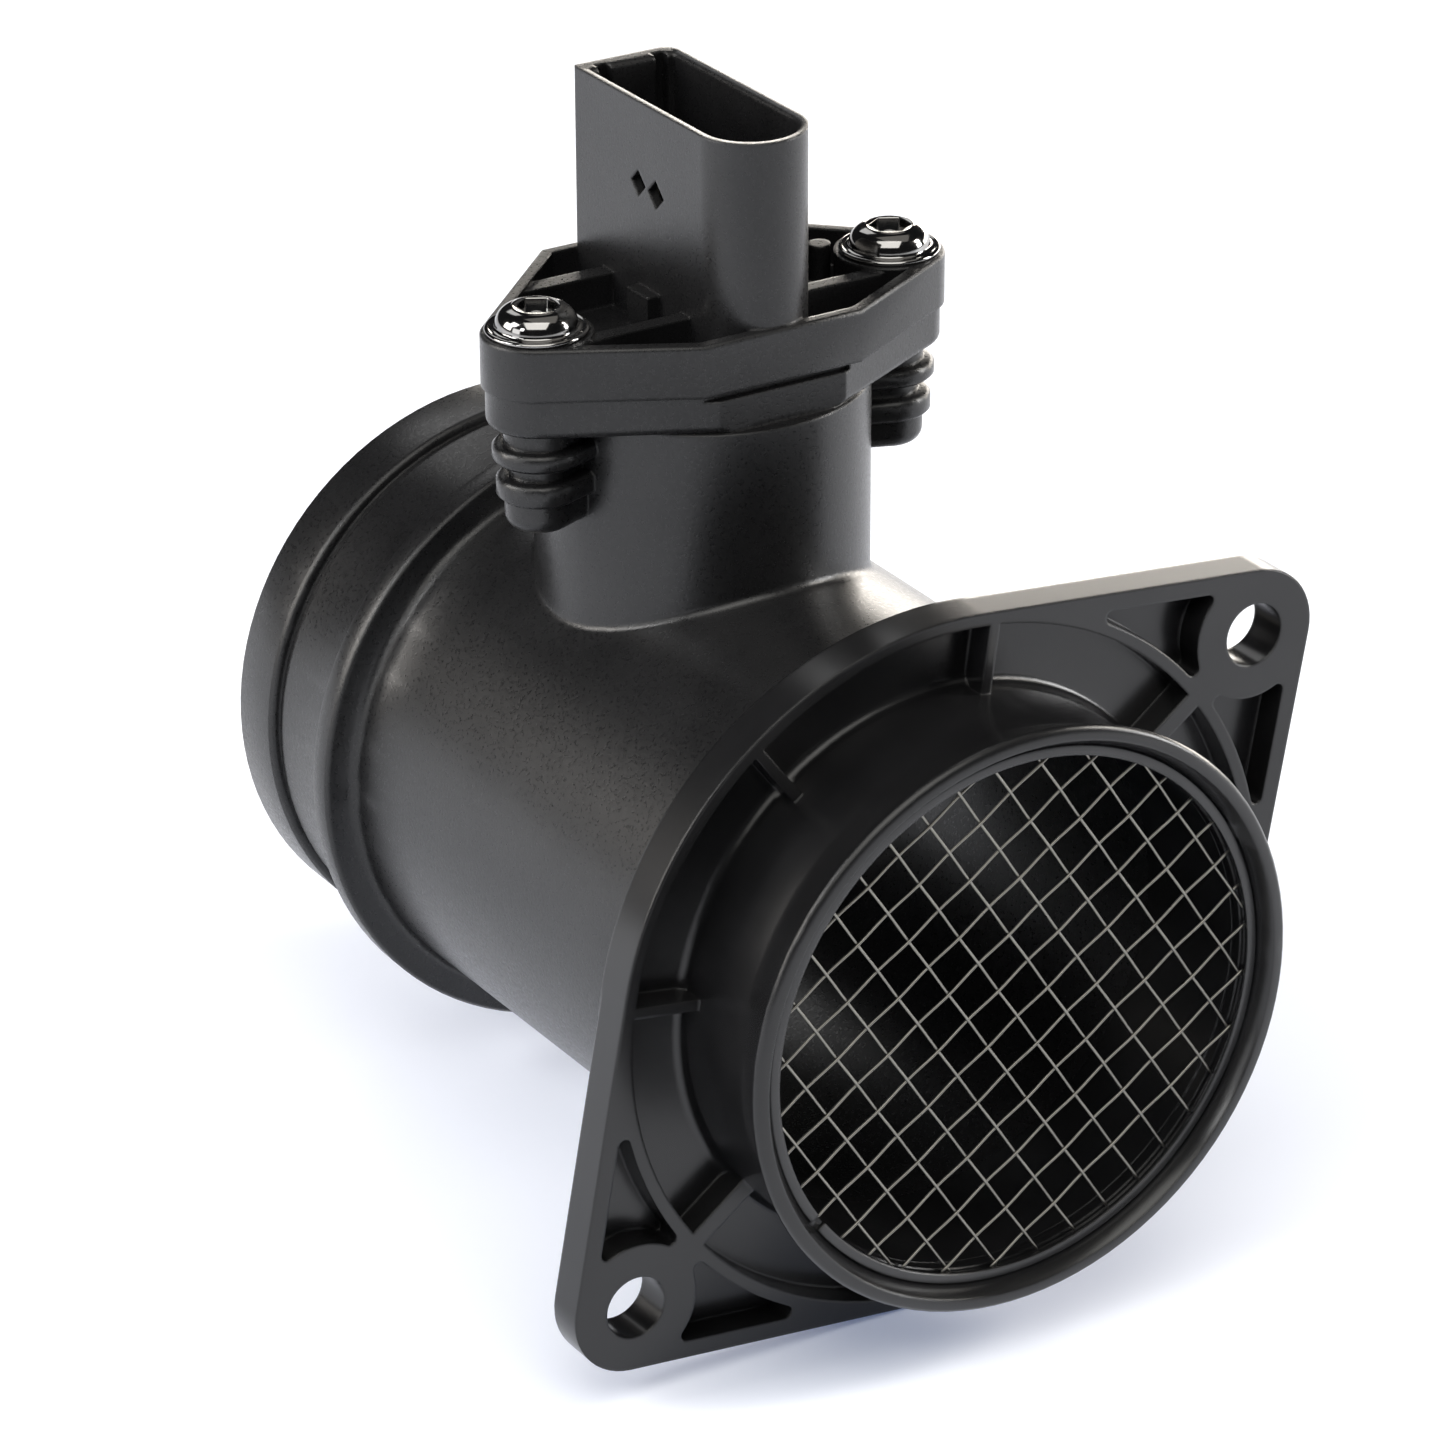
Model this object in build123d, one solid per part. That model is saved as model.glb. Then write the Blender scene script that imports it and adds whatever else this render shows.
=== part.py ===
from build123d import *
import os
from math import degrees, hypot, sqrt

# Mass airflow sensor of the hot-film kind, in its own air tube. Millimetres.
# The origin is the centre of the flange's mounting face, on the tube axis.
# Air flows along +Y, and +Z runs up through the tower and the plug socket.

# Air tube: radii, and stations measured along +Y from the mounting face
duct_r = 31.0
nozzle_length = 15.7
overall_length = 117.6
lip_r = 35.0
lip_band = 0.9
lip_edge = 0.5
lip_mouth_r = 33.4
neck_r = 32.8
flare_length = 5.2
flare_rounding = 5.0
neck_root = 1.2
barrel_front_r = 33.6
barrel_rear_r = 34.1
barrel_root = 1.2
spigot_length = 23.6
shoulder_width = 3.7
shoulder_r = 38.1
shoulder_root = 1.2
shoulder_edge = 0.5
spigot_r = 34.8
spigot_root = 1.6
groove_width = 1.5
groove_r = 34.3
bead_r = 35.6
bead_length = 8.6
bead_front_edge = 0.5
bead_rear_edge = 1.0
outlet_chamfer = 0.7

# Mounting flange
flange_thickness = 5.0
flange_disc_r = 42.5
flange_wall = 1.5
flange_floor = 1.5
bolt_circle_d = 102.4
bolt_angle = 37.0
bolt_hole_d = 7.5
ear_r = 7.8
ear_web = 2.2
ear_wall = 2.1
ear_pocket_corner = 0.8
channel_rib = 1.3
channel_rib_count = 8
flange_edge = 0.5

# Inlet screen
ring_seat_r = 32.35
ring_fit = 0.05
ring_setback = 1.7
ring_length = 3.0
ring_width = 1.3
ring_edge = 0.25
ring_notch = 1.5
ring_notch_depth = 0.6
ring_notch_angle = -145.6
wire_d = 0.42
wire_anchor = 0.5
wire_fit = 0.1
wire_setback = 1.0
mesh_angle = 33.5
warp_pitch = 4.78
weft_pitch = 4.7
warp_offset = -0.6
weft_offset = 0.2
shortest_wire = 24.0

# Snap bump on the lip's inner wall, over the screen ring
snap_angle = 33.1
snap_width = 2.5
snap_length = 0.9
snap_reach = 0.8

# Sensor tower. Its axis lies on the tube between flange and shoulder, and each value
# called a station is measured from that axis, minus towards the inlet.
tower_gap = 3.5
tower_r = 19.4
tower_bore_r = 16.2
tower_fillet = 1.0
tower_flange_bottom = 54.0
joint_z = 58.8
tower_ear_r = 5.9
pry_slot_left = -10.0
pry_slot_right = 9.0
pry_slot_height = 0.8
pry_slot_depth = 1.0
tower_flange_edge = 1.0

# Screw bosses below the tower flange
screw_x = 23.4
screw_station = -3.2
boss_neck_r = 4.0
boss_neck_height = 2.2
boss_ring_1_r = 5.3
boss_ring_1_height = 2.2
boss_recess_r = 3.4
boss_recess_height = 1.7
boss_ring_2_r = 4.9
boss_ring_2_height = 2.7
boss_foot_r = 4.0
boss_foot_height = 3.7
boss_foot_edge = 1.8
boss_ring_edge = 0.5
pilot_r = 2.0
pilot_end_wall = 1.6

# Cap of the sensor head
cap_front_station = -17.6
cap_rear_station = 18.1
cap_flat = 20.8
cap_height = 6.2
cap_ear_r = 6.4
cap_wall = 1.5
cap_floor = 1.7
cap_edge = 0.4
cap_rear_rib_station = 9.7
cap_rear_rib = 2.4
cap_front_rib_station = -7.2
cap_front_rib = 2.0
cap_rib_drop = 0.5
cap_pocket_corner = 1.2
post_x = 17.9
post_station = 3.1
post_r = 1.3
post_drop = 0.2
latch_block_station = 0.7
latch_block_length = 4.6
latch_block_width = 1.5

# Plug socket
plug_width = 13.0
plug_front_station = -17.0
plug_rear_station = 16.8
plug_top_z = 86.9
plug_wall = 1.2
plug_key_wall = 2.6
plug_corner = 2.0
plug_rear_edge = 0.4
plug_mouth_chamfer = 0.5
socket_floor_z = 66.0
key_slot_x = 3.75
key_slot_width = 1.7
key_slot_depth = 1.4
window_1_station = 2.7
window_1_z = 77.1
window_1_half = 1.6
window_2_station = -1.05
window_2_z = 76.8
window_2_half = 1.75

# Neck of the sensor head, and its seal
neck_play = 0.3
head_neck_length = 12.8
head_neck_chamfer = 1.0
seal_groove_top = 3.6
seal_groove_height = 3.2
seal_groove_depth = 1.5
seal_height = 2.5
seal_bore_gap = 0.05
seal_edge = 0.6

# Finger in the duct
finger_width = 14.0
finger_front_station = -13.4
finger_rear_station = 13.6
finger_bottom_z = -12.0
finger_front_corner = 4.0
finger_rear_corner = 2.5
finger_bottom_edge = 1.5
finger_window_play = 0.4

# Electronics chamber, open towards +X under its cover
chamber_margin_y = 2.5
chamber_bottom_z = 12.0
chamber_top_z = 42.0
chamber_floor_x = -2.6
cover_thickness = 1.3
cover_lap = 1.0
cover_fit = 0.1
vent_bottom_z = 16.0
vent_top_z = 34.0
vent_margin_y = 2.2
terminal_ledge = 4.0

# Bypass duct, open towards +X under its cover
bypass_floor_x = -4.8
bypass_height = 6.5
bypass_inlet_z = 5.0
bypass_split = 4.5
bypass_turn_station = 2.9
bypass_exit_station = -7.7
bypass_exit_length = 6.0
channel_cover_top_z = 10.2
channel_cover_bottom_z = -11.0
channel_cover_margin = 1.0

# Electronics
plate_thickness = 1.2
plate_play = 0.5
board_thickness = 0.8
board_bottom_z = 17.0
board_top_z = 37.4
gel_thickness = 1.8
control_chip_size = 7.0
control_chip_height = 1.0
control_chip_z = 30.0
capacitor_length = 2.0
capacitor_width = 1.25
capacitor_height = 0.9
capacitor_pitch = 4.5
capacitor_count = 3
capacitor_z = 21.5
carrier_thickness = 1.0
carrier_width = 5.0
carrier_top_z = 16.4
carrier_bottom_z = 2.6
carrier_fit = 0.1
chip_width = 2.6
chip_length = 4.6
chip_thickness = 0.4

# Terminals
terminal_count = 5
terminal_pitch = 5.0
terminal_width = 1.5
terminal_thickness = 0.63
terminal_tip_z = 78.0
terminal_taper = 1.5

# Cap screws
screw_shank_r = 2.4
screw_hole_play = 0.3
screw_thread_play = 0.05
screw_end_gap = 0.8
screw_tip_edge = 0.5
collar_r = 5.9
collar_height = 0.6
collar_edge = 0.25
dome_r = 4.75
dome_height = 2.4
dome_swell = 0.35
dome_top_r = 3.05
recess_width = 4.6
recess_depth = 1.9
pin_r = 0.75
pin_drop = 0.9

# Intake air thermistor beside the finger
bead_station = -4.7
bead_z = 2.5
bead_stand_off = 2.6
bead_bulb_r = 0.9
bead_bulb_length = 2.4
lead_r = 0.3
lead_bend_r = 0.8
lead_reach = 3.4
lead_root = 1.2
lead_fit = 0.05

# Values that follow from the ones above
rear_end = overall_length - nozzle_length
lip_front = -nozzle_length
shoulder_end = rear_end - spigot_length
shoulder_start = shoulder_end - shoulder_width
tower_y = shoulder_start - tower_gap - tower_r
screw_y = tower_y + screw_station
cap_front_y = tower_y + cap_front_station
cap_rear_y = tower_y + cap_rear_station
cap_rear_rib_y = tower_y + cap_rear_rib_station
cap_front_rib_y = tower_y + cap_front_rib_station
post_y = tower_y + post_station
latch_block_y = tower_y + latch_block_station
plug_front_y = tower_y + plug_front_station
plug_rear_y = tower_y + plug_rear_station
window_1_y = tower_y + window_1_station
window_2_y = tower_y + window_2_station
finger_front_y = tower_y + finger_front_station
finger_rear_y = tower_y + finger_rear_station
bypass_turn_y = tower_y + bypass_turn_station
bypass_exit_y = tower_y + bypass_exit_station
bead_y = tower_y + bead_station
bead_start = rear_end - bead_length
channel_floor_y = flange_thickness - flange_floor
bolt_circle_r = bolt_circle_d / 2
ring_front = lip_front + ring_setback
ring_rear = ring_front + ring_length
ring_outer_r = ring_seat_r - ring_fit
ring_inner_r = ring_outer_r - ring_width
wire_plane = ring_front + wire_setback
wire_end_r = ring_inner_r + wire_anchor
cap_top_z = joint_z + cap_height
finger_y = (finger_front_y + finger_rear_y) / 2
finger_length = finger_rear_y - finger_front_y
finger_side_x = finger_width / 2
cover_inner_x = finger_side_x - cover_thickness
head_neck_r = tower_bore_r - neck_play
head_neck_bottom = joint_z - head_neck_length
chamber_front_y = finger_front_y + chamber_margin_y
chamber_rear_y = finger_rear_y - chamber_margin_y
ledge_bottom_z = chamber_top_z - terminal_ledge
plate_top_x = chamber_floor_x + plate_thickness
board_top_x = plate_top_x + board_thickness
carrier_top_x = plate_top_x + carrier_thickness
bypass_return_z = bypass_inlet_z - bypass_height - bypass_split
bypass_turn_z = (bypass_inlet_z + bypass_return_z) / 2
bypass_inner_r = bypass_split / 2
bypass_outer_r = bypass_inner_r + bypass_height
bead_x = -finger_side_x - bead_stand_off


def upward(sketch, bottom, top):
    """Carry a sketch drawn in x and y from one height to another."""
    return extrude(Plane.XY.offset(bottom) * sketch, amount=top - bottom)


def across(sketch, front, rear):
    """Carry a sketch drawn in x and z along the tube from one station to another."""
    return extrude(Plane.XZ.offset(-front) * sketch, amount=front - rear)


def sideways(sketch, left, right):
    """Carry a sketch drawn in y and z from one x to another."""
    return extrude(Plane.YZ.offset(left) * sketch, amount=right - left)


def span(low, high, start, end):
    """Rectangle between two values of each direction of its plane."""
    return Pos((low + high) / 2, (start + end) / 2) * Rectangle(high - low, end - start)


def rounded(sketch, radius):
    """The same outlines with every outer corner rounded."""
    return offset(offset(sketch, amount=-radius), amount=radius)


def section(*corners):
    """Face from corners of radius, height and rounding."""
    points = [(radius, height) for radius, height, _ in corners]
    roundings = [rounding for _, _, rounding in corners]
    return make_face(FilletPolyline(*points, radius=roundings, close=True))


def turned(*corners):
    """Solid of revolution about the tube axis."""
    return revolve(section(*corners), axis=Axis.Y)


def turned_up(x, y, *corners):
    """Solid of revolution about a vertical axis."""
    return Pos(x, y, 0) * revolve(Plane.XZ * section(*corners), axis=Axis.Z)


# ---------------------------------------------------------------- housing


def tube():
    """Nozzle, flange disc with its channel, barrel, shoulder and spigot, in one turn."""
    return turned(
        (duct_r, ring_rear, 0),
        (ring_seat_r, ring_rear, 0),
        (ring_seat_r, ring_front, 0),
        (lip_mouth_r, lip_front, 0),
        (lip_r - lip_edge, lip_front, 0),
        (lip_r, lip_front + lip_edge, 0),
        (lip_r, lip_front + lip_band, 0),
        (neck_r, lip_front + lip_band + flare_length, flare_rounding),
        (neck_r, channel_floor_y - neck_root, 0),
        (neck_r + neck_root, channel_floor_y, 0),
        (flange_disc_r - flange_wall, channel_floor_y, 0),
        (flange_disc_r - flange_wall, 0, 0),
        (flange_disc_r, 0, 0),
        (flange_disc_r, flange_thickness, 0),
        (barrel_front_r + barrel_root, flange_thickness, 0),
        (barrel_front_r, flange_thickness + barrel_root, 0),
        (barrel_rear_r, shoulder_start - shoulder_root, 0),
        (barrel_rear_r + shoulder_root, shoulder_start, 0),
        (shoulder_r - shoulder_edge, shoulder_start, 0),
        (shoulder_r, shoulder_start + shoulder_edge, 0),
        (shoulder_r, shoulder_end - shoulder_edge, 0),
        (shoulder_r - shoulder_edge, shoulder_end, 0),
        (spigot_r + spigot_root, shoulder_end, 0),
        (spigot_r, shoulder_end + spigot_root, 0),
        (spigot_r, bead_start - groove_width, 0),
        (groove_r, bead_start - groove_width, 0),
        (groove_r, bead_start, 0),
        (bead_r - bead_front_edge, bead_start, 0),
        (bead_r, bead_start + bead_front_edge, 0),
        (bead_r, rear_end - bead_rear_edge, 0),
        (bead_r - bead_rear_edge, rear_end, 0),
        (duct_r + outlet_chamfer, rear_end, 0),
        (duct_r, rear_end - outlet_chamfer, 0),
    )


def barrel_core():
    """Full barrel, used to end what stands on it at its surface."""
    return turned(
        (0, 0, 0),
        (barrel_front_r, 0, 0),
        (barrel_rear_r, shoulder_start, 0),
        (0, shoulder_start, 0),
    )


def flange_outline():
    """Disc and two ears drawn together by straight sides."""
    ears = PolarLocations(-bolt_circle_r, 2, bolt_angle) * Circle(ear_r)
    return make_hull((Sketch() + Circle(flange_disc_r) + ears).edges())


def ear_pockets():
    """The four hollows of the ears, on both sides of each radial web."""
    inside = offset(flange_outline(), amount=-ear_wall)
    webs = Rot(0, 0, bolt_angle) * Rectangle(2 * bolt_circle_r, ear_web)
    bosses = PolarLocations(bolt_circle_r, 2, bolt_angle) * Circle(ear_r)
    hollows = inside - Circle(flange_disc_r) - webs - bosses
    return across(rounded(hollows, ear_pocket_corner), 0, channel_floor_y)


def channel_ribs():
    """Radial ribs between the nozzle and the rim of the flange."""
    inner = duct_r + (neck_r - duct_r) / 2
    outer = flange_disc_r - flange_wall / 2
    middle = (inner + outer) / 2
    spokes = PolarLocations(middle, channel_rib_count, bolt_angle) * Rectangle(outer - inner, channel_rib)
    webs = PolarLocations(middle, 2, bolt_angle) * Rectangle(outer - inner, ear_web)
    return across(Sketch() + spokes + webs, 0, channel_floor_y)


def flange_plate():
    """The ears and the straight sides; the disc itself is turned with the tube."""
    plate = across(flange_outline(), 0, flange_thickness)
    plate = fillet(plate.faces().sort_by(Axis.Y)[-1].edges(), flange_edge)
    plate -= across(Circle(flange_disc_r - flange_wall / 2), 0, flange_thickness)
    holes = PolarLocations(bolt_circle_r, 2, bolt_angle) * Circle(bolt_hole_d / 2)
    return plate - ear_pockets() - across(Sketch() + holes, 0, flange_thickness)


def snap_bump():
    """Small catch on the lip's inner wall that holds the screen ring in."""
    bump = section(
        (lip_mouth_r + 0.4, ring_front - snap_length, 0),
        (ring_seat_r - snap_reach / 4, ring_front, 0),
        (lip_mouth_r + 0.4, ring_front, 0),
    )
    turn = degrees(snap_width / ring_seat_r)
    wedge = revolve(bump, axis=Axis.Y, revolution_arc=turn)
    return Rot(0, -snap_angle + turn / 2, 0) * wedge


def ear_circle(side, radius):
    """Circle round a screw's axis, begun on the side towards the tower."""
    turn = 90 + 90 * side
    return (Pos(side * screw_x, screw_y) * Rot(0, 0, turn) * Circle(radius)).edges()


def cap_outline(corner_r):
    """Six-sided outline with a round ear at each screw."""
    front = Line((-cap_flat / 2, cap_front_y), (cap_flat / 2, cap_front_y))
    rear = Line((-cap_flat / 2, cap_rear_y), (cap_flat / 2, cap_rear_y))
    return make_hull([front, rear, *ear_circle(-1, corner_r), *ear_circle(1, corner_r)])


def deck_outline():
    """Tower and ears drawn together, cut off flush with the cap in front and behind."""
    middle = Pos(0, tower_y) * Circle(tower_r)
    ears = [*ear_circle(-1, tower_ear_r), *ear_circle(1, tower_ear_r)]
    hull = make_hull([*middle.edges(), *ears])
    reach = screw_x + tower_ear_r
    return hull & span(-reach, reach, cap_front_y, cap_rear_y)


def boss_step(side, radius, bottom, top, edge):
    """One step of a screw boss: a round end drawn back into the tower's side."""
    root = Pos(side * (tower_r - radius), tower_y) * Circle(radius)
    step = upward(make_hull([*ear_circle(side, radius), *root.edges()]), bottom, top)
    return chamfer(step.edges().filter_by(Plane.XY), edge) if edge else step


def screw_boss(side):
    """Ringed boss under an ear of the tower flange."""
    neck_z = tower_flange_bottom - boss_neck_height
    ring_1_z = neck_z - boss_ring_1_height
    recess_z = ring_1_z - boss_recess_height
    ring_2_z = recess_z - boss_ring_2_height
    foot_z = ring_2_z - boss_foot_height
    boss = boss_step(side, boss_neck_r, neck_z, tower_flange_bottom, 0)
    boss += boss_step(side, boss_ring_1_r, ring_1_z, neck_z, boss_ring_edge)
    boss += boss_step(side, boss_recess_r, recess_z, ring_1_z, 0)
    boss += boss_step(side, boss_ring_2_r, ring_2_z, recess_z, boss_ring_edge)
    foot = boss_step(side, boss_foot_r, foot_z, ring_2_z, 0)
    foot = fillet(foot.faces().sort_by(Axis.Z)[0].edges(), boss_foot_edge)
    return boss + foot


def pilot_bottom():
    """Height at which the screw's hole ends inside its boss."""
    heights = boss_neck_height + boss_ring_1_height + boss_recess_height
    heights += boss_ring_2_height + boss_foot_height
    return tower_flange_bottom - heights + pilot_end_wall


def is_ear_arc(edge):
    """Whether an edge of the deck is the round end of an ear."""
    return edge.geom_type == GeomType.CIRCLE and abs((edge @ 0.5).X) > screw_x


def is_tower_root(edge):
    """Whether an edge lies on the barrel's outer surface."""
    return all(hypot(point.X, point.Z) > duct_r + 1 for point in (edge @ 0, edge @ 0.5))


def tower_shaft():
    """Round shaft of the tower, standing on the duct."""
    shaft = upward(Pos(0, tower_y) * Circle(tower_r), duct_r / 2, tower_flange_bottom)
    return shaft - across(Circle(duct_r), 0, rear_end)


def tower_head():
    """Flange on top of the tower, with its screw bosses."""
    deck = upward(deck_outline(), tower_flange_bottom, joint_z)
    ends = deck.faces().sort_by(Axis.Z)[0].edges().filter_by(is_ear_arc)
    deck = fillet(ends, tower_flange_edge)
    slot = span(pry_slot_left, pry_slot_right, cap_front_y, cap_front_y + pry_slot_depth)
    deck -= upward(slot, joint_z - pry_slot_height, joint_z)
    return deck + screw_boss(-1) + screw_boss(1)


def housing():
    """Tube, flange and tower in one moulding."""
    pipe = tube()
    shaft = tower_shaft()
    body = pipe + shaft
    root = new_edges(pipe, shaft, combined=body).filter_by(is_tower_root)
    body = fillet(root, tower_fillet)
    body += flange_plate() + channel_ribs() + tower_head()
    bore = upward(Pos(0, tower_y) * Circle(tower_bore_r), 0, joint_z) - barrel_core()
    body -= bore
    body -= upward(finger_outline(finger_window_play), 0, joint_z)
    for side in (-1, 1):
        pilot = Pos(side * screw_x, screw_y) * Circle(pilot_r)
        body -= upward(pilot, pilot_bottom(), joint_z)
    return body + snap_bump()


# ---------------------------------------------------------------- inlet screen


def screen_ring():
    """Ring with an inner groove for the wire ends and a keying notch in front."""
    groove = wire_d + wire_fit / 2
    ring = turned(
        (ring_inner_r, ring_front, 0),
        (ring_outer_r - ring_edge, ring_front, 0),
        (ring_outer_r, ring_front + ring_edge, 0),
        (ring_outer_r, ring_rear, 0),
        (ring_inner_r, ring_rear, 0),
        (ring_inner_r, wire_plane + groove, 0),
        (wire_end_r + wire_fit, wire_plane + groove, 0),
        (wire_end_r + wire_fit, wire_plane - groove, 0),
        (ring_inner_r, wire_plane - groove, 0),
    )
    notch = Rectangle(4 * ring_width, ring_notch)
    notch = PolarLocations(ring_outer_r, 1, ring_notch_angle) * notch
    return ring - across(Sketch() + notch, ring_front, ring_front + ring_notch_depth)


def wire_places(shift, pitch):
    """Distances from the axis of the wires that are long enough to be held."""
    reach = sqrt(wire_end_r**2 - (shortest_wire / 2) ** 2)
    steps = range(-int(reach / pitch) - 1, int(reach / pitch) + 2)
    places = [shift + step * pitch for step in steps]
    return [place for place in places if abs(place) + wire_d / 2 < reach]


def wires(angle, shift, pitch, layer_y):
    """Parallel wires across the ring, each ended inside the ring's groove."""
    solids = []
    for place in wire_places(shift, pitch):
        half = sqrt(wire_end_r**2 - (abs(place) + wire_d / 2) ** 2)
        wire = Rot(0, 90, 0) * Cylinder(wire_d / 2, 2 * half)
        solids.append(Rot(0, -angle, 0) * Pos(0, layer_y, place) * wire)
    return Compound(children=solids)


# ---------------------------------------------------------------- sensor head


def finger_outline(play=0.0):
    """Section of the finger, with its blunt nose towards the flow."""
    front = finger_front_corner
    rear = finger_rear_corner
    outline = span(-finger_side_x, finger_side_x, finger_front_y, finger_rear_y)
    outline = fillet(outline.vertices().group_by(Axis.Y)[0], front)
    outline = fillet(outline.vertices().group_by(Axis.Y)[-1], rear)
    return offset(outline, amount=play) if play else outline


def plug_outline(wall, rear_wall):
    """D-shaped section of the plug socket, round end forward."""
    half = plug_width / 2 - wall
    nose_y = plug_front_y + plug_width / 2
    nose = Pos(0, nose_y) * Circle(half)
    return nose + span(-half, half, nose_y, plug_rear_y - rear_wall)


def plug_body():
    """Outer form of the plug socket, standing on the cap's floor."""
    outline = plug_outline(0, 0)
    rear = outline.vertices().group_by(Axis.Y)[-1].sort_by(Axis.X)
    outline = fillet(rear[-1], plug_corner)
    rear = outline.vertices().group_by(Axis.Y)[-1].sort_by(Axis.X)
    outline = fillet(rear[0], plug_rear_edge)
    return upward(outline, joint_z, plug_top_z)


def window(y, z, half):
    """Diamond-shaped latch window in the left wall of the socket."""
    diamond = Pos(y, z) * Rot(0, 0, 45) * Rectangle(half * sqrt(2), half * sqrt(2))
    return sideways(diamond, -plug_width / 2, -plug_width / 2 + plug_wall)


def plug_socket():
    """What is cut from the plug body: cavity, mouth chamfer, key slots and windows."""
    cavity = upward(plug_outline(plug_wall, plug_key_wall), socket_floor_z, plug_top_z)
    rear_y = plug_rear_y - plug_key_wall
    for side in (-1, 1):
        centre = side * key_slot_x
        half = key_slot_width / 2
        slot = span(centre - half, centre + half, rear_y, rear_y + key_slot_depth)
        cavity += upward(slot, socket_floor_z, plug_top_z)
    mouth = plug_outline(plug_wall, plug_key_wall)
    wide = offset(mouth, amount=plug_mouth_chamfer)
    lower = Plane.XY.offset(plug_top_z - plug_mouth_chamfer) * mouth
    upper = Plane.XY.offset(plug_top_z) * wide
    cavity += loft([lower.face(), upper.face()])
    cavity += window(window_1_y, window_1_z, window_1_half)
    return cavity + window(window_2_y, window_2_z, window_2_half)


def cap_hollows():
    """The pockets of the cap, left between rim, ribs, ears and plug."""
    half = screw_x + cap_ear_r
    inside = offset(cap_outline(cap_ear_r), amount=-cap_wall)
    corners = inside.vertices().filter_by(lambda corner: abs(corner.X) < cap_flat / 2)
    inside = fillet(corners, cap_pocket_corner)
    inside -= plug_outline(0, 0)
    for side in (-1, 1):
        inside -= Pos(side * screw_x, screw_y) * Circle(cap_ear_r)
    pockets = upward(inside, joint_z + cap_floor, cap_top_z)
    rear_low = cap_rear_rib_y - cap_rear_rib / 2
    front_low = cap_front_rib_y - cap_front_rib / 2
    rear_rib = span(-half, half, rear_low, rear_low + cap_rear_rib)
    front_rib = span(-half, half, front_low, front_low + cap_front_rib)
    return pockets - upward(rear_rib + front_rib, joint_z, cap_top_z - cap_rib_drop)


def cap():
    """Ribbed cap that closes the tower and carries the plug socket."""
    plate = upward(cap_outline(cap_ear_r), joint_z, cap_top_z)
    plate = fillet(plate.faces().sort_by(Axis.Z)[-1].edges(), cap_edge)
    plate -= cap_hollows()
    for side in (-1, 1):
        post = Pos(side * post_x, post_y) * Circle(post_r)
        plate += upward(post, joint_z, cap_top_z - post_drop)
    block_rear = latch_block_y + latch_block_length / 2
    block_front = latch_block_y - latch_block_length / 2
    left = -plug_width / 2 - latch_block_width
    block = span(left, -plug_width / 2, block_front, block_rear)
    return plate + upward(block, joint_z, cap_top_z)


def head_neck():
    """Round neck in the tower bore, with the groove of its seal."""
    groove_top = joint_z - seal_groove_top
    groove_r_head = head_neck_r - seal_groove_depth
    return turned_up(
        0,
        tower_y,
        (0, head_neck_bottom, 0),
        (head_neck_r - head_neck_chamfer, head_neck_bottom, 0),
        (head_neck_r, head_neck_bottom + head_neck_chamfer, 0),
        (head_neck_r, groove_top - seal_groove_height, 0),
        (groove_r_head, groove_top - seal_groove_height, 0),
        (groove_r_head, groove_top, 0),
        (head_neck_r, groove_top, 0),
        (head_neck_r, joint_z, 0),
        (0, joint_z, 0),
    )


def bypass(left, right):
    """Air path of the meter: in at the nose, round a turn, back and out at the side."""
    half = bypass_height / 2
    inlet = span(finger_front_y, bypass_turn_y, bypass_inlet_z - half, bypass_inlet_z + half)
    back = span(bypass_exit_y, bypass_turn_y, bypass_return_z - half, bypass_return_z + half)
    turn = Pos(bypass_turn_y, bypass_turn_z) * (Circle(bypass_outer_r) - Circle(bypass_inner_r))
    rear = span(bypass_turn_y, finger_rear_y, finger_bottom_z, chamber_bottom_z)
    return sideways(inlet + back + (turn & rear), left, right)


def finger():
    """Hollow finger with chamber, bypass duct, cover seats and cooling window."""
    body = finger_core()
    chamber = span(chamber_front_y, chamber_rear_y, chamber_bottom_z, chamber_top_z)
    ledge = span(chamber_front_y, chamber_rear_y, ledge_bottom_z, chamber_top_z)
    body -= sideways(chamber, chamber_floor_x, finger_side_x)
    body += sideways(ledge, chamber_floor_x, -terminal_thickness / 2)
    body -= sideways(cover_seat(), cover_inner_x, finger_side_x)
    body -= sideways(channel_seat(), cover_inner_x, finger_side_x)
    body -= bypass(bypass_floor_x, cover_inner_x)
    vent_front = chamber_front_y + vent_margin_y
    vent_rear = chamber_rear_y - vent_margin_y
    vent = span(vent_front, vent_rear, vent_bottom_z, vent_top_z)
    body -= sideways(vent, -finger_side_x, chamber_floor_x)
    return body - carrier_slot() - lead_holes()


def cover_seat():
    """Outline of the electronics cover's recess."""
    front = chamber_front_y - cover_lap
    rear = chamber_rear_y + cover_lap
    return span(front, rear, chamber_bottom_z - cover_lap, chamber_top_z + cover_lap)


def channel_seat():
    """Outline of the channel cover's recess."""
    front = finger_front_y + channel_cover_margin
    rear = finger_rear_y - channel_cover_margin
    return span(front, rear, channel_cover_bottom_z, channel_cover_top_z)


def carrier_slot():
    """Slot between chamber and bypass duct that the chip carrier passes."""
    half = carrier_width / 2 + carrier_fit
    slot = span(finger_y - half, finger_y + half, bypass_inlet_z, chamber_bottom_z)
    return sideways(slot, chamber_floor_x + plate_thickness - carrier_fit, carrier_top_x + carrier_fit)


def lead_holes():
    """Holes in the finger's left face for the two thermistor leads."""
    hole = Circle(lead_r + lead_fit)
    low = Pos(bead_y, bead_z - lead_reach) * hole
    high = Pos(bead_y, bead_z + lead_reach) * hole
    return sideways(low + high, -finger_side_x, -finger_side_x + lead_root)


def terminal_y(index):
    """Place of a terminal in its row."""
    return finger_y + (index - (terminal_count - 1) / 2) * terminal_pitch


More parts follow.
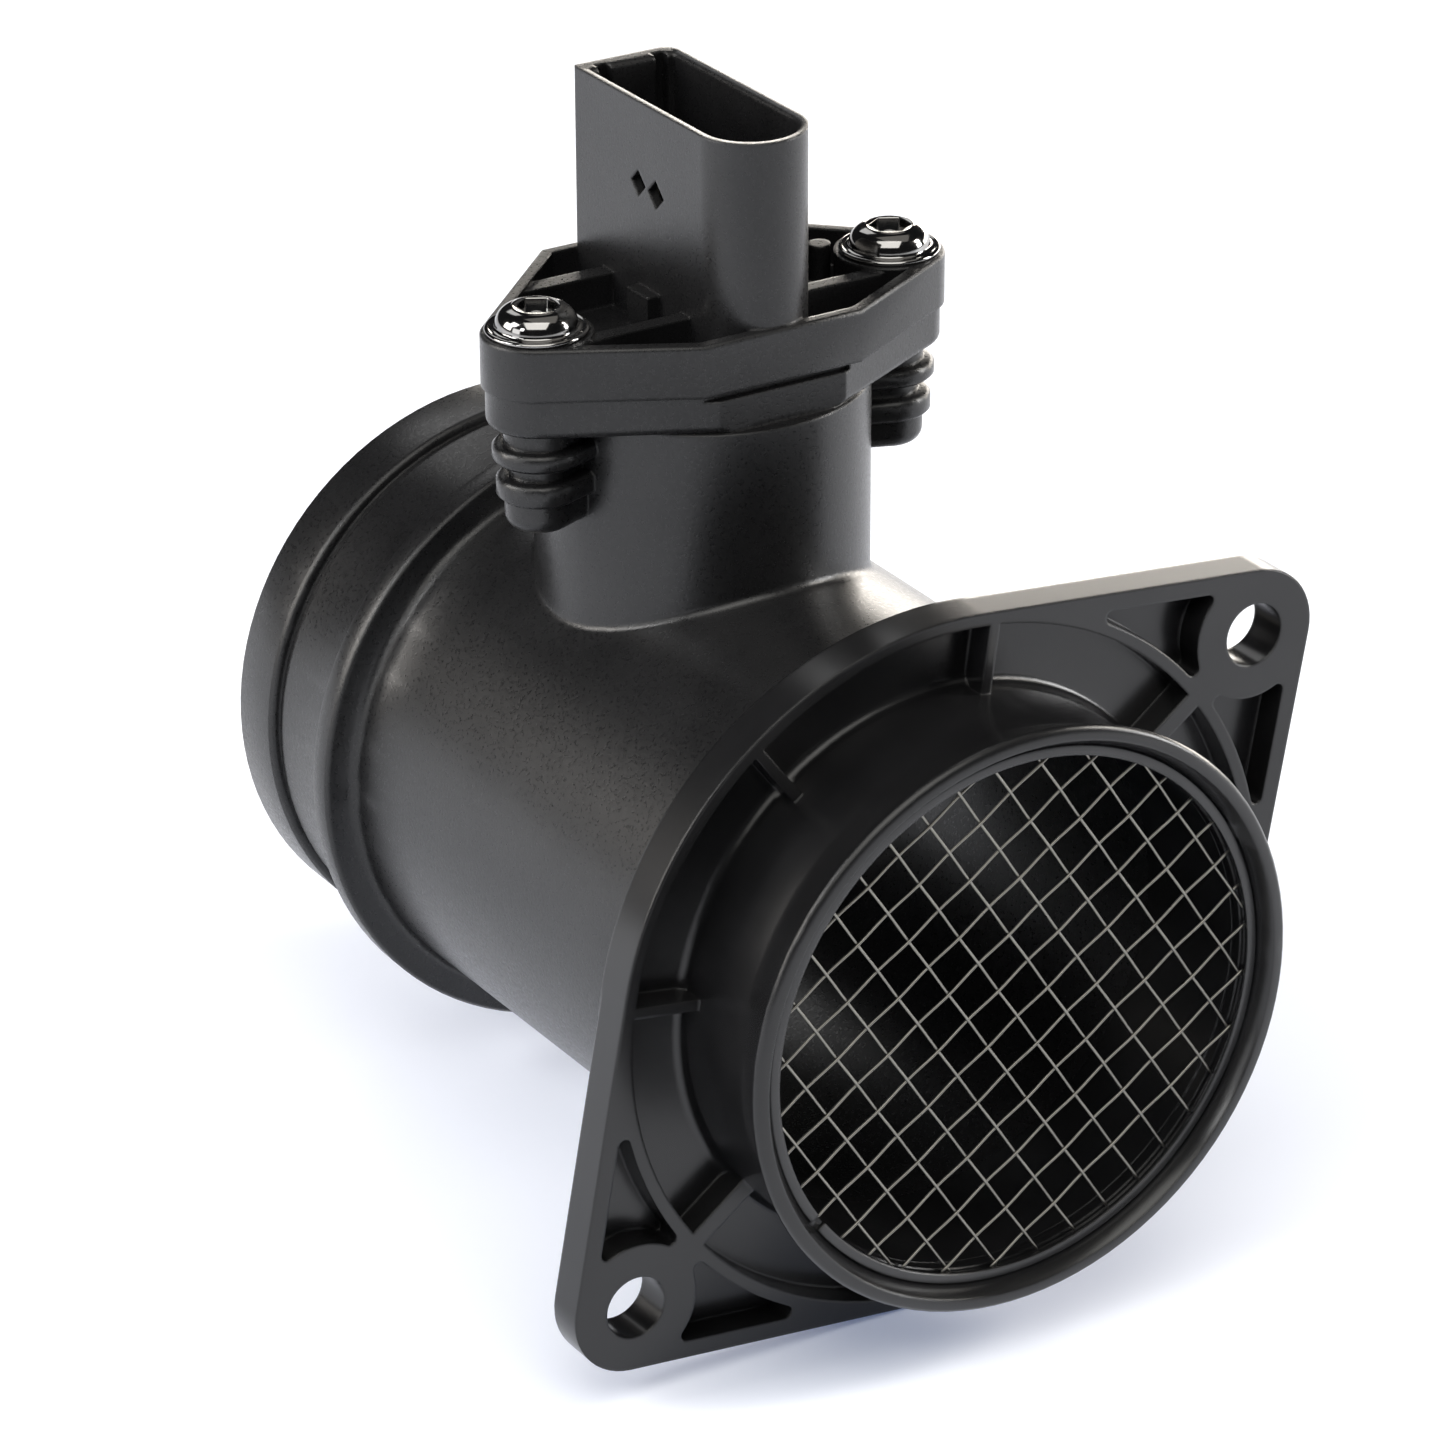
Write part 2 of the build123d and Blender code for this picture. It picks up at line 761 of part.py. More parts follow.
def terminal(index):
    """Flat blade with a bevelled tip, from the bonding ledge up into the socket."""
    half = terminal_width / 2
    y = terminal_y(index)
    blade = Polyline(
        (y - half, ledge_bottom_z),
        (y + half, ledge_bottom_z),
        (y + half, terminal_tip_z - terminal_taper),
        (y + half / 2, terminal_tip_z),
        (y - half / 2, terminal_tip_z),
        (y - half, terminal_tip_z - terminal_taper),
        close=True,
    )
    return sideways(make_face(blade), -terminal_thickness / 2, terminal_thickness / 2)


def sensor_head():
    """Cap, plug socket, neck and finger in one moulding, moulded round the terminals."""
    body = cap() + plug_body() + head_neck() + finger() - plug_socket()
    for side in (-1, 1):
        hole = Pos(side * screw_x, screw_y) * Circle(screw_shank_r + screw_hole_play)
        body -= upward(hole, joint_z, cap_top_z)
    for index in range(terminal_count):
        body -= terminal(index)
    return body


def head_seal():
    """Rubber ring in the neck's groove."""
    middle = joint_z - seal_groove_top - seal_groove_height / 2
    low = middle - seal_height / 2
    high = middle + seal_height / 2
    inner = head_neck_r - seal_groove_depth
    outer = tower_bore_r - seal_bore_gap
    return turned_up(
        0,
        tower_y,
        (inner + seal_edge, low, 0),
        (outer - seal_edge, low, 0),
        (outer, low + seal_edge, 0),
        (outer, high - seal_edge, 0),
        (outer - seal_edge, high, 0),
        (inner + seal_edge, high, 0),
        (inner, high - seal_edge, 0),
        (inner, low + seal_edge, 0),
    )


def cap_screw(side):
    """Round-headed screw with a collar, a six-sided recess and a pin in it."""
    collar_top = cap_top_z + collar_height
    top = collar_top + dome_height
    tip = pilot_bottom() + screw_end_gap
    core_r = pilot_r - screw_thread_play
    dome_middle_r = (dome_r + dome_top_r) / 2 + dome_swell
    head = turned_up(
        0,
        0,
        (0, tip, 0),
        (core_r - screw_tip_edge, tip, 0),
        (core_r, tip + screw_tip_edge, 0),
        (core_r, joint_z, 0),
        (screw_shank_r, joint_z, 0),
        (screw_shank_r, cap_top_z, 0),
        (collar_r, cap_top_z, 0),
        (collar_r, collar_top - collar_edge, 0),
        (collar_r - collar_edge, collar_top, 0),
        (dome_r, collar_top, 0),
        (dome_middle_r, collar_top + dome_height / 2, 0),
        (dome_top_r, top, 0),
        (0, top, 0),
    )
    key = RegularPolygon(recess_width / 2, 6, major_radius=False) - Circle(pin_r)
    head -= upward(key, top - recess_depth, top)
    head -= upward(Circle(pin_r), top - pin_drop, top)
    return Pos(side * screw_x, screw_y, 0) * head


# ---------------------------------------------------------------- electronics


def base_plate():
    """Metal plate on the chamber's floor, cooled through the window behind it."""
    front = chamber_front_y + plate_play
    rear = chamber_rear_y - plate_play
    outline = span(front, rear, chamber_bottom_z + plate_play, ledge_bottom_z - plate_play)
    return sideways(outline, chamber_floor_x, plate_top_x)


def circuit_board():
    """Ceramic board bonded to the base plate."""
    front = chamber_front_y + 2 * plate_play
    rear = chamber_rear_y - 2 * plate_play
    return sideways(span(front, rear, board_bottom_z, board_top_z), plate_top_x, board_top_x)


def control_chip():
    """Square chip of the control circuit."""
    outline = Pos(finger_y, control_chip_z) * Rectangle(control_chip_size, control_chip_size)
    return sideways(outline, board_top_x, board_top_x + control_chip_height)


def board_capacitor(index):
    """One of a row of small capacitors."""
    y = finger_y + (index - (capacitor_count - 1) / 2) * capacitor_pitch
    outline = Pos(y, capacitor_z) * Rectangle(capacitor_width, capacitor_length)
    return sideways(outline, board_top_x, board_top_x + capacitor_height)


def chip_carrier():
    """Metal strip from the base plate down into the bypass duct."""
    half = carrier_width / 2
    outline = span(finger_y - half, finger_y + half, carrier_bottom_z, carrier_top_z)
    return sideways(outline, plate_top_x, carrier_top_x)


def sensor_chip():
    """Hot-film chip on the carrier, in the middle of the bypass inlet."""
    outline = Pos(finger_y, bypass_inlet_z) * Rectangle(chip_width, chip_length)
    return sideways(outline, carrier_top_x, carrier_top_x + chip_thickness)


def board_gel():
    """Soft sealing layer over the board and what stands on it."""
    front = chamber_front_y + 2 * plate_play
    rear = chamber_rear_y - 2 * plate_play
    gel = sideways(span(front, rear, board_bottom_z, board_top_z), board_top_x, board_top_x + gel_thickness)
    gel -= control_chip()
    for index in range(capacitor_count):
        gel -= board_capacitor(index)
    return gel


def finger_core():
    """Outer form of the finger, before anything is cut from it."""
    core = upward(finger_outline(), finger_bottom_z, head_neck_bottom)
    return fillet(core.faces().sort_by(Axis.Z)[0].edges(), finger_bottom_edge)


def electronics_cover():
    """Lid of the chamber, let into its recess and flush with the finger's side."""
    lid = offset(cover_seat(), amount=-cover_fit)
    return sideways(lid, cover_inner_x, finger_side_x) & finger_core()


def channel_cover():
    """Lid of the bypass duct, with the window by which the air leaves it."""
    lid = offset(channel_seat(), amount=-cover_fit)
    half = bypass_height / 2
    low = bypass_return_z - half
    lid -= span(bypass_exit_y, bypass_exit_y + bypass_exit_length, low, low + bypass_height)
    return sideways(lid, cover_inner_x, finger_side_x) & finger_core()


def temperature_bead():
    """Glass bead of the intake air thermistor."""
    bulb = Cylinder(bead_bulb_r, bead_bulb_length)
    bulb = chamfer(bulb.edges(), bead_bulb_r / 2)
    return Pos(bead_x, bead_y, bead_z) * bulb


def bead_lead(side):
    """Bent wire that carries the bead from the finger's left face."""
    start = (-finger_side_x + lead_root, bead_z + side * lead_reach)
    bend = (bead_x, bead_z + side * lead_reach)
    end = (bead_x, bead_z + side * bead_bulb_length / 2)
    path = Plane.XZ.offset(-bead_y) * FilletPolyline(start, bend, end, radius=lead_bend_r)
    profile = Plane(origin=path @ 0, z_dir=path % 0) * Circle(lead_r)
    return sweep(profile, path=path)


def write(node, solid):
    """Write one node of the part."""
    export_step(solid, f"parts/{node}.step")


os.makedirs("parts", exist_ok=True)
write("housing", housing())
write("screen_ring", screen_ring())
write("screen_warp_wires", wires(mesh_angle, warp_offset, warp_pitch, wire_plane - wire_d / 2))
write("screen_weft_wires", wires(mesh_angle - 90, weft_offset, weft_pitch, wire_plane + wire_d / 2))
write("sensor_head", sensor_head())
write("head_seal", head_seal())
write("cap_screws", Compound(children=[cap_screw(-1), cap_screw(1)]))
for index in range(terminal_count):
    write(f"terminal_{index + 1}", terminal(index))
write("base_plate", base_plate())
write("circuit_board", circuit_board())
write("control_chip", control_chip())
for index in range(capacitor_count):
    write(f"board_capacitor_{index + 1}", board_capacitor(index))
write("chip_carrier", chip_carrier())
write("sensor_chip", sensor_chip())
write("board_gel", board_gel())
write("electronics_cover", electronics_cover())
write("channel_cover", channel_cover())
write("temperature_bead", temperature_bead())
write("bead_lead_1", bead_lead(-1))
write("bead_lead_2", bead_lead(1))
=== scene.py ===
import math
import bmesh
import bpy
import numpy as np
from mathutils import Matrix, Vector


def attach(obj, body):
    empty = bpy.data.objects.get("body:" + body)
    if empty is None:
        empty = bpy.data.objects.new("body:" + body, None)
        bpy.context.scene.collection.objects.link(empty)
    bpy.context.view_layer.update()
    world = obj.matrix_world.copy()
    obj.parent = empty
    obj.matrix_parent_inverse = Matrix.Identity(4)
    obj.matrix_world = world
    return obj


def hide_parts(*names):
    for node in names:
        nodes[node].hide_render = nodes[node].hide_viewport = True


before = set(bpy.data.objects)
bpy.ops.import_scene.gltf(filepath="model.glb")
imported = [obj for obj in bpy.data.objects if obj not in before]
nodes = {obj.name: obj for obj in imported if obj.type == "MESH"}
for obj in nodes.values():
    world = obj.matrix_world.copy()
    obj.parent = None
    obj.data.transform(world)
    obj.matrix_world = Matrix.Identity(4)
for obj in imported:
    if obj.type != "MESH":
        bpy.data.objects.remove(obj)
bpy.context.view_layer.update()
mm = 0.001
print("frame loaded:", len(nodes), "nodes")


def linearColour(hexCode):
    # sRGB hex to linear: below 0.04045 divide by 12.92, above it the 2.4 power curve
    values = [int(hexCode[i:i + 2], 16) / 255 for i in (1, 3, 5)]
    linear = [v / 12.92 if v <= 0.04045 else ((v + 0.055) / 1.055) ** 2.4 for v in values]
    return tuple(linear) + (1.0,)


def addNode(tree, kind, inputs=None, links=None, **settings):
    # one node: its settings, then constant inputs, then links as {socket: (node, output)}
    node = tree.nodes.new(kind)
    for name, value in settings.items():
        setattr(node, name, value)
    for name, value in (inputs or {}).items():
        node.inputs[name].default_value = value
    for name, (source, output) in (links or {}).items():
        tree.links.new(source.outputs[output], node.inputs[name])
    return node


def newMaterial(name):
    material = bpy.data.materials.new(name)
    material.use_nodes = True
    material.node_tree.nodes.clear()
    return material, material.node_tree


def finishMaterial(tree, shader):
    out = addNode(tree, "ShaderNodeOutputMaterial")
    tree.links.new(shader.outputs["BSDF"], out.inputs["Surface"])


def perMetre(millimetres):
    # noise scale whose features are about this many millimetres across
    return 1.0 / (millimetres * mm)


noiseBand = (0.3, 0.7)  # nearly all of a noise texture's values lie between these

# Glass-filled nylon, injection moulded in a steel tool: near black, with a slow drift in its
# tone. Behind the flange the tool is spark-eroded and leaves a fine dull grain that scatters
# the light. In front of it the tool is polished and the skin shines evenly. The real grain
# is too fine to show, so it is drawn about four times as coarse.
nylon = {"dark": "#0f0f10", "light": "#181819", "toneBand": (0.35, 0.7), "cloudMm": 14,
         "grainMm": 0.42, "grainDeep": 0.034, "grainStrength": 0.6,
         "roughLow": 0.25, "roughHigh": 0.37, "ior": 1.46, "edgeMm": 0.5, "edgeSamples": 4,
         "erodedFromY": 5.6, "erodedFade": 0.6, "polishedRough": 0.24}


def mouldedPlastic(name, look):
    material, tree = newMaterial(name)
    place = addNode(tree, "ShaderNodeTexCoord")
    cloud = addNode(tree, "ShaderNodeTexNoise",
                    {"Scale": perMetre(look["cloudMm"]), "Detail": 3.0, "Roughness": 0.55},
                    {"Vector": (place, "Object")})
    grain = addNode(tree, "ShaderNodeTexNoise",
                    {"Scale": perMetre(look["grainMm"]), "Detail": 2.0, "Roughness": 0.6},
                    {"Vector": (place, "Object")})
    tint = addNode(tree, "ShaderNodeValToRGB", links={"Fac": (cloud, "Fac")})
    for stop, position, colour in zip(tint.color_ramp.elements, look["toneBand"],
                                      (look["dark"], look["light"])):
        stop.position = position
        stop.color = linearColour(colour)
    rough = addNode(tree, "ShaderNodeMapRange",
                    {"From Min": noiseBand[0], "From Max": noiseBand[1],
                     "To Min": look["roughLow"], "To Max": look["roughHigh"]},
                    {"Value": (grain, "Fac")})
    # the share of grain goes from 0 to 1 over a short fade along Y, at the flange's back
    along = addNode(tree, "ShaderNodeSeparateXYZ", links={"Vector": (place, "Object")})
    eroded = addNode(tree, "ShaderNodeMapRange",
                     {"From Min": (look["erodedFromY"] - look["erodedFade"]) * mm,
                      "From Max": look["erodedFromY"] * mm},
                     {"Value": (along, "Y")})
    skin = addNode(tree, "ShaderNodeMix", {"A": look["polishedRough"]},
                   {"Factor": (eroded, "Result"), "B": (rough, "Result")}, data_type="FLOAT")
    height = addNode(tree, "ShaderNodeMath", {}, {0: (grain, "Fac"), 1: (eroded, "Result")},
                     operation="MULTIPLY")
    edge = addNode(tree, "ShaderNodeBevel", {"Radius": look["edgeMm"] * mm},
                   samples=look["edgeSamples"])
    bump = addNode(tree, "ShaderNodeBump",
                   {"Strength": look["grainStrength"], "Distance": look["grainDeep"] * mm},
                   {"Height": (height, "Value"), "Normal": (edge, "Normal")})
    base = (tint, "Color")
    if "shadedFromY" in look:
        # painted shade: behind the front face the colour goes near black, where the ring's
        # walls lie in shade; the front face keeps a paler grey, partly its own colour and
        # partly painted highlight
        behind = addNode(tree, "ShaderNodeMapRange",
                         {"From Min": look["shadedFromY"][0] * mm,
                          "From Max": look["shadedFromY"][1] * mm},
                         {"Value": (along, "Y")})
        shadeMix = addNode(tree, "ShaderNodeMix", {"B": linearColour(look["shadeColour"])},
                         {"Factor": (behind, "Result"), "A": base}, data_type="RGBA")
        base = (shadeMix, "Result")
    shader = addNode(tree, "ShaderNodeBsdfPrincipled", {"IOR": look["ior"]},
                     {"Base Color": base, "Roughness": (skin, "Result"),
                      "Normal": (bump, "Normal")})
    finishMaterial(tree, shader)
    return material


mouldedGlassFilledNylon = mouldedPlastic("mouldedGlassFilledNylon", nylon)
# glass-filled polyester, moulded in the same way: a more even black with a finer grain
polyester = {**nylon, "dark": "#0f0f10", "light": "#171718", "grainMm": 0.36, "cloudMm": 11}
mouldedPolyester = mouldedPlastic("mouldedPolyester", polyester)
# nylon ring, moulded and pressed in: dull dark grey; its walls behind the front face are
# painted near black as shade, and the front face's paler grey is partly painted highlight
ringNylon = {**nylon, "dark": "#242425", "light": "#2e2e2f",
             # from this Y back the colour is painted shade, near black
             "shadedFromY": (-14.0, -13.9), "shadeColour": "#131314"}
mouldedRingNylon = mouldedPlastic("mouldedRingNylon", ringNylon)
print("plastics made")


def plainMaterial(name, colour, metallic, roughness, ior=1.5, grainMm=0.8, spread=0.08):
    # one colour, whose roughness drifts by the spread from spot to spot
    leastRoughness = 0.02
    material, tree = newMaterial(name)
    place = addNode(tree, "ShaderNodeTexCoord")
    grain = addNode(tree, "ShaderNodeTexNoise", {"Scale": perMetre(grainMm), "Detail": 3.0},
                    {"Vector": (place, "Object")})
    rough = addNode(tree, "ShaderNodeMapRange",
                    {"From Min": noiseBand[0], "From Max": noiseBand[1],
                     "To Min": max(roughness - spread, leastRoughness),
                     "To Max": roughness + spread}, {"Value": (grain, "Fac")})
    shader = addNode(tree, "ShaderNodeBsdfPrincipled",
                     {"Base Color": linearColour(colour), "Metallic": metallic, "IOR": ior},
                     {"Roughness": (rough, "Result")})
    finishMaterial(tree, shader)
    return material


# stainless wire, drawn and woven: warm grey, its shine drawn out and blurred
drawnStainlessWire = plainMaterial("drawnStainlessWire", "#7b7973", 1.0, 0.34)
# steel under black nickel plate: a smoky mirror with small sharp white lights
blackNickelSteel = plainMaterial("blackNickelSteel", "#868584", 1.0, 0.1, spread=0.03)
# nitrile rubber, moulded: deep black with hardly any shine
mouldedNitrileRubber = plainMaterial("mouldedNitrileRubber", "#141414", 0.0, 0.6)
# brass blades, stamped and tin plated: pale silver, softly bright
tinPlatedBrass = plainMaterial("tinPlatedBrass", "#c9c5ba", 1.0, 0.32)
# aluminium sheet, rolled: cool light grey with a soft shine
rolledAluminium = plainMaterial("rolledAluminium", "#c4c6c8", 1.0, 0.35)
# alumina board, fired: creamy white and matt, like unglazed pottery
firedAlumina = plainMaterial("firedAlumina", "#ded9cc", 0.0, 0.55)
# epoxy chip body, moulded: black and satin
mouldedEpoxy = plainMaterial("mouldedEpoxy", "#131314", 0.0, 0.5)
# ceramic capacitor, fired: tan with a waxy shine
firedCapacitorBody = plainMaterial("firedCapacitorBody", "#a58a68", 0.0, 0.4)
# glass laminate under solder mask: dark green, as if varnished
solderMaskedLaminate = plainMaterial("solderMaskedLaminate", "#1d4a2c", 0.0, 0.35)
# silicon die, polished: blue-grey mirror
polishedSilicon = plainMaterial("polishedSilicon", "#4c5560", 1.0, 0.08, spread=0.03)
# silicone gel, poured: pale and wet looking
softSiliconeGel = plainMaterial("softSiliconeGel", "#c9c8c4", 0.0, 0.25, ior=1.41)
# glass bead, melted round the thermistor: dark brown and glossy
fusedBeadGlass = plainMaterial("fusedBeadGlass", "#3a2c22", 0.0, 0.08, spread=0.03)
# copper wire, drawn and tinned: silvery and bright
tinnedLeadWire = plainMaterial("tinnedLeadWire", "#bdbcb8", 1.0, 0.3)
print("metals, rubber, ceramics and glass made")

weldDistance = 1e-7  # metres; points of a grid that lie closer are one point


def gridPiece(name, points, material):
    # points is (sheets, rows, columns, 3) in mm; each sheet is a grid of quads, its columns
    # closed into a ring, and rows that shrink to one point are welded into a pole
    sheets, rows, columns = points.shape[:3]
    row, column = np.meshgrid(np.arange(rows - 1), np.arange(columns), indexing="ij")
    after = (column + 1) % columns
    quad = np.stack([row * columns + column, row * columns + after,
                     (row + 1) * columns + after, (row + 1) * columns + column],
                    axis=-1).reshape(-1, 4)
    quads = (np.arange(sheets)[:, None, None] * rows * columns + quad[None]).reshape(-1, 4)
    mesh = bpy.data.meshes.new(name)
    mesh.from_pydata((points.reshape(-1, 3) * mm).tolist(), [], quads.tolist())
    work = bmesh.new()
    work.from_mesh(mesh)
    bmesh.ops.remove_doubles(work, verts=work.verts, dist=weldDistance)
    bmesh.ops.recalc_face_normals(work, faces=work.faces)
    work.to_mesh(mesh)
    work.free()
    mesh.shade_smooth()
    mesh.materials.append(material)
    piece = bpy.data.objects.new(name, mesh)
    bpy.context.scene.collection.objects.link(piece)
    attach(piece, "root")
    return piece


# inlet mesh, in mm and degrees; "most" is the most wires on one side of the middle one
weave = {"wire": 0.34, "wave": 0.11, "angle": 33.5, "plane": -13.0, "endRadius": 31.5,
         "shortest": 24.0, "pitches": (4.78, 4.7), "shifts": (-0.6, 0.2), "most": 20,
         "rowMm": 0.62, "sides": 10}


def wirePlaces(look, layer):
    # a wire's distance from the duct's axis is shift + step * pitch; the wires long enough
    # to reach the ring's groove are kept
    reach = math.sqrt(look["endRadius"] ** 2 - (look["shortest"] / 2) ** 2)
    steps = np.arange(-look["most"], look["most"] + 1)
    places = look["shifts"][layer] + steps * look["pitches"][layer]
    kept = np.abs(places) + look["wire"] / 2 < reach
    return places[kept], steps[kept]


def wovenWires(look, layer):
    # a wire's centre line is a cosine wave that crosses over and under: its height is the
    # wave times cos(pi * (distance - other layer's shift) / other layer's pitch), and the
    # sign alternates from wire to wire; the section is a circle square to that line, and
    # the rolled mesh is pressed flat, so that wires sink into each other where they cross
    places, steps = wirePlaces(look, layer)
    radius = look["wire"] / 2
    other = 1 - layer
    way = 1 if layer == 0 else -1  # seen from one layer, the other one runs backwards
    half = np.sqrt(look["endRadius"] ** 2 - (np.abs(places) + radius) ** 2)[:, None]
    rows = int(2 * look["endRadius"] / look["rowMm"])
    run = half * np.linspace(-1, 1, rows)[None, :]
    phase = math.pi * (way * run - look["shifts"][other]) / look["pitches"][other]
    sign = np.where((steps + layer) % 2 == 0, 1.0, -1.0)[:, None]
    height = look["wave"] * sign * np.cos(phase)
    slope = -look["wave"] * sign * np.sin(phase) * math.pi * way / look["pitches"][other]
    tilt = 1 / np.sqrt(1 + slope ** 2)
    thick = radius * (np.abs(run) < half)[..., None]  # a wire's two end rings close to a point
    turn = np.linspace(0, 2 * math.pi, look["sides"], endpoint=False)
    out = thick * np.cos(turn)
    lift = thick * np.sin(turn)
    alongWire = run[..., None] - lift * (slope * tilt)[..., None]
    alongY = look["plane"] + height[..., None] + lift * tilt[..., None]
    offAxis = places[:, None, None] + out
    angle = math.radians(look["angle"] - 90 * layer)
    x = alongWire * math.cos(angle) - offAxis * math.sin(angle)
    z = alongWire * math.sin(angle) + offAxis * math.cos(angle)
    return np.stack([x, alongY, z], axis=-1)


woven = [("wovenWarp", "screen_warp_wires"), ("wovenWeft", "screen_weft_wires")]
for layer, (piece, node) in enumerate(woven):
    wires = gridPiece(piece, wovenWires(weave, layer), drawnStainlessWire)
    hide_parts(node)
print("inlet mesh woven")


# cap screws, in mm; each curve has its start and end, set off across and along from the
# corners that it joins, then how far it swells and how many points it has
screw = {"x": 23.4, "y": 48.5, "seat": 65.0, "tip": 43.9, "joint": 58.8, "tipBlunt": 0.5,
         "coreR": 1.95, "shankR": 2.4, "collarR": 5.9, "collarHigh": 0.6, "footBlunt": 0.15,
         "domeR": 4.75, "topR": 2.8, "domeHigh": 2.4,
         "hexWide": 4.3, "hexDeep": 1.9, "mouthFlare": 0.06, "mouthDrop": 0.01,
         "mouthDeep": 0.16, "floorInset": 0.12, "floorRise": 0.1,
         "pinR": 0.75, "pinDrop": 0.9, "pinBlunt": 0.15, "columns": 96,
         "rim": ((-0.1, 0.02), (-0.22, -0.03), 0.16, 9),
         "cove": ((-0.4, 0.0), (0.02, 0.08), -0.12, 10),
         "dome": ((-0.04, 0.2), (0.1, -0.1), 0.5, 16),
         "brow": ((0.0, -0.03), (-0.14, 0.0), 0.03, 4)}


def curve(start, end, shape):
    # points from start to end, pushed out sideways by swell times 4 t (1 - t), an even curve
    startOff, endOff, swell, count = shape
    start, end = np.add(start, startOff), np.add(end, endOff)
    part = np.linspace(0, 1, count)[:, None]
    run = end - start
    side = np.array([run[1], -run[0]]) / np.linalg.norm(run)
    return start + part * run + swell * 4 * part * (1 - part) * side


def capScrew(look, side):
    # the profile runs from the tip up the shank, round the collar and over the dome, then
    # down the recess and up the pin; each point is (radius, height), turned about the
    # screw's axis, and in the six-sided recess the radius is half the width across its
    # flats / cos(angle from the middle of the nearest flat)
    seat, tip, joint = look["seat"], look["tip"], look["joint"]
    core, shank, rim, dome = look["coreR"], look["shankR"], look["collarR"], look["domeR"]
    brow, hexR, pinR = look["topR"], look["hexWide"] / 2, look["pinR"]
    collar = seat + look["collarHigh"]
    top = collar + look["domeHigh"]
    floor = top - look["hexDeep"]
    pin = top - look["pinDrop"]
    foot, blunt, rise = look["footBlunt"], look["pinBlunt"], look["floorRise"]
    outside = np.concatenate([
        [(0, tip), (core - look["tipBlunt"], tip), (core, tip + look["tipBlunt"]),
         (core, joint), (shank, joint), (shank, seat), (rim - foot, seat)],
        curve((rim, seat), (rim, collar), look["rim"]),
        curve((rim, collar), (dome, collar), look["cove"]),
        curve((dome, collar), (brow, top), look["dome"]),
        curve((brow, top), (brow, top), look["brow"])])
    recess = np.array([
        (hexR + look["mouthFlare"], top - look["mouthDrop"]), (hexR, top - look["mouthDeep"]),
        (hexR, floor + rise), (hexR - look["floorInset"], floor)])
    middlePin = np.array([(pinR + blunt, floor), (pinR, floor + rise), (pinR, pin - blunt),
                          (pinR - blunt, pin), (0, pin)])
    profile = np.concatenate([outside, recess, middlePin])
    hexness = np.repeat([0.0, 1.0, 0.0], [len(outside), len(recess), len(middlePin)])
    turn = np.linspace(0, 2 * math.pi, look["columns"], endpoint=False)
    sixth = np.mod(turn + math.pi / 6, math.pi / 3) - math.pi / 6
    shape = 1 + hexness[:, None] * (1 / np.cos(sixth)[None, :] - 1)
    radius = profile[:, :1] * shape
    x = side * look["x"] + radius * np.cos(turn)
    y = look["y"] + radius * np.sin(turn)
    z = np.broadcast_to(profile[:, 1:2], x.shape)
    return np.stack([x, y, z], axis=-1)


bothScrews = np.stack([capScrew(screw, -1), capScrew(screw, 1)])
screws = gridPiece("capScrews", bothScrews, blackNickelSteel)
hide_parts("cap_screws")
print("cap screws turned")


# nodes whose names end in a number share the finish of their set
finishes = {
    "housing": mouldedGlassFilledNylon, "sensor_head": mouldedPolyester,
    "electronics_cover": mouldedPolyester, "channel_cover": mouldedPolyester,
    "screen_ring": mouldedRingNylon, "screen_warp_wires": drawnStainlessWire,
    "screen_weft_wires": drawnStainlessWire, "head_seal": mouldedNitrileRubber,
    "cap_screws": blackNickelSteel, "base_plate": rolledAluminium,
    "circuit_board": firedAlumina, "control_chip": mouldedEpoxy,
    "chip_carrier": solderMaskedLaminate, "sensor_chip": polishedSilicon,
    "board_gel": softSiliconeGel, "temperature_bead": fusedBeadGlass,
    "terminal": tinPlatedBrass, "board_capacitor": firedCapacitorBody,
    "bead_lead": tinnedLeadWire,
}
softEdge = {"weldMm": 0.001, "sharpDegrees": 52, "areaWeight": 80}


def softenEdges(node, look):
    # joins the shading over chamfers and round walls, and leaves the large flats level:
    # each corner's normal is the mean of the faces there, weighted by their area
    node.data.shade_smooth()
    weld = node.modifiers.new("weld", "WELD")
    weld.merge_threshold = look["weldMm"] * mm
    sharp = node.modifiers.new("sharp", "EDGE_SPLIT")
    sharp.split_angle = math.radians(look["sharpDegrees"])
    level = node.modifiers.new("level", "WEIGHTED_NORMAL")
    level.weight = look["areaWeight"]
    level.keep_sharp = True


for name, node in nodes.items():
    for slot in node.material_slots:
        slot.material = finishes[name.rstrip("_0123456789")]
    softenEdges(node, softEdge)
print("finishes set on", len(nodes), "nodes")


# floor height in mm, its size and the sweep in metres
studio = {"floorZ": -42.6, "floorColour": "#eceef1", "floorSize": 12.0, "floorRough": 0.9,
          "floorGloss": 0.1, "skyColour": "#b8bac0", "skyStrength": 0.05,
          # the floor's glow is painted light: bluish near the part as painted shade, white
          # further out
          "shadeGlowColour": "#425070", "glowStrength": 1.0, "sweepColour": "#ffffff",
          "sweep": (0.5, 2.2)}


